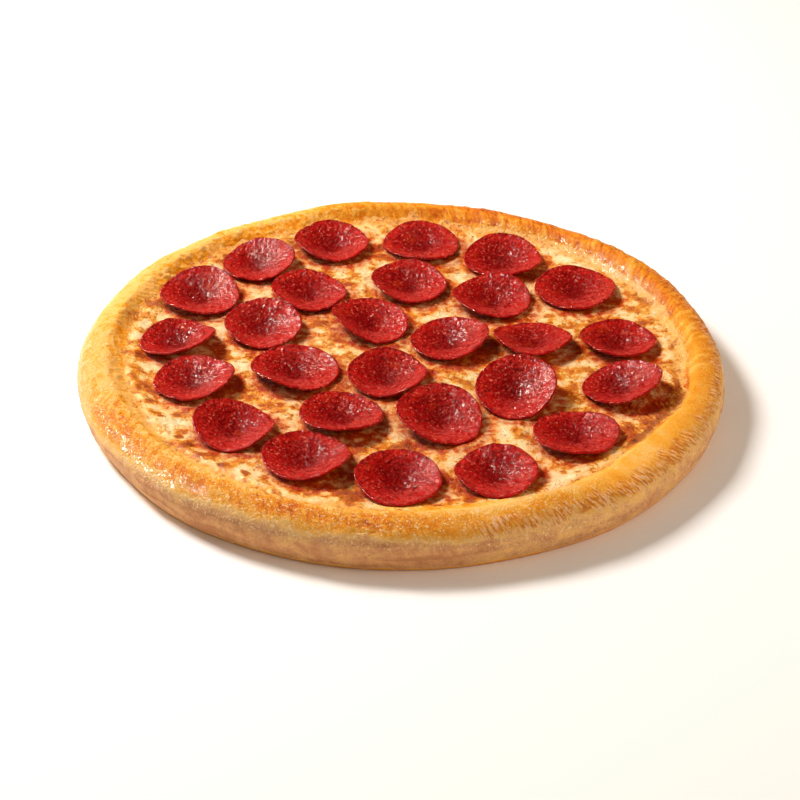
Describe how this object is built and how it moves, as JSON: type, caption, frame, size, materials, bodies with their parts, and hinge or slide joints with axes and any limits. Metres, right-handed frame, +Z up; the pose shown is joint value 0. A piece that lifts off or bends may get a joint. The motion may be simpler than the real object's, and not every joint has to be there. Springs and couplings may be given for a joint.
{
  "type": "pan pizza",
  "caption": "Whole round pan pizza: a thick crust with a raised golden rim, melted cheese inside it and cupped pepperoni slices on top. It stands on its flat base.",
  "frame": {"origin": "on the flat base, at the middle of the outline's box", "axes": "+Z up; -Y the front of the pizza as pictured; +X its right as pictured"},
  "size_m": [0.301, 0.299, 0.0291],
  "materials": {
    "crust": "baked dough: golden-brown glossy top, pale cream side",
    "cheese": "melted cheese: cream to yellow, browned in patches, a little oily",
    "pepperoni": "cured sausage: deep red, pebbled and glossy with fat"
  },
  "bodies": {
    "root": {"crust": "crust", "cheese": "cheese", "pepperoni_01": "pepperoni", "pepperoni_02": "pepperoni", "pepperoni_03": "pepperoni", "pepperoni_04": "pepperoni", "pepperoni_05": "pepperoni", "pepperoni_06": "pepperoni", "pepperoni_07": "pepperoni", "pepperoni_08": "pepperoni", "pepperoni_09": "pepperoni", "pepperoni_10": "pepperoni", "pepperoni_11": "pepperoni", "pepperoni_12": "pepperoni", "pepperoni_13": "pepperoni", "pepperoni_14": "pepperoni", "pepperoni_15": "pepperoni", "pepperoni_16": "pepperoni", "pepperoni_17": "pepperoni", "pepperoni_18": "pepperoni", "pepperoni_19": "pepperoni", "pepperoni_20": "pepperoni", "pepperoni_21": "pepperoni", "pepperoni_22": "pepperoni", "pepperoni_23": "pepperoni", "pepperoni_24": "pepperoni", "pepperoni_25": "pepperoni", "pepperoni_26": "pepperoni", "pepperoni_27": "pepperoni"}
  },
  "joints": []
}
